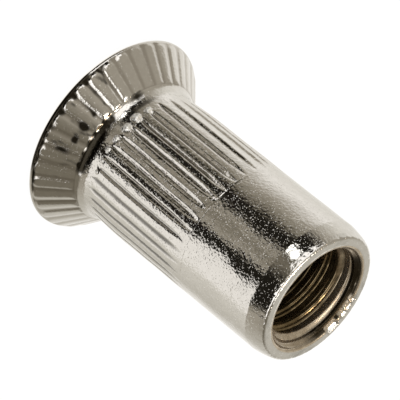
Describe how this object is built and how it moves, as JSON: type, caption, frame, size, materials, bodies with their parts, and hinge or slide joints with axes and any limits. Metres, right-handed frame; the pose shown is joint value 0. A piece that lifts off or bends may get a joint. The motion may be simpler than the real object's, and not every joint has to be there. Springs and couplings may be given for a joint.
{
  "type": "rivet nut",
  "caption": "Countersunk rivet nut: serrated cone head, straight-knurled thin-walled body and an internally threaded open end.",
  "frame": {"origin": "centre of the head's flat face, on the surface that the nut stands on", "axes": "+Z along the body's axis, from the head to the open threaded end"},
  "size_m": [0.01, 0.01, 0.0141],
  "materials": {
    "plated_steel": "bright nickel-plated steel with a fine pitted grain"
  },
  "bodies": {
    "root": {"rivet_nut": "plated_steel"}
  },
  "joints": []
}
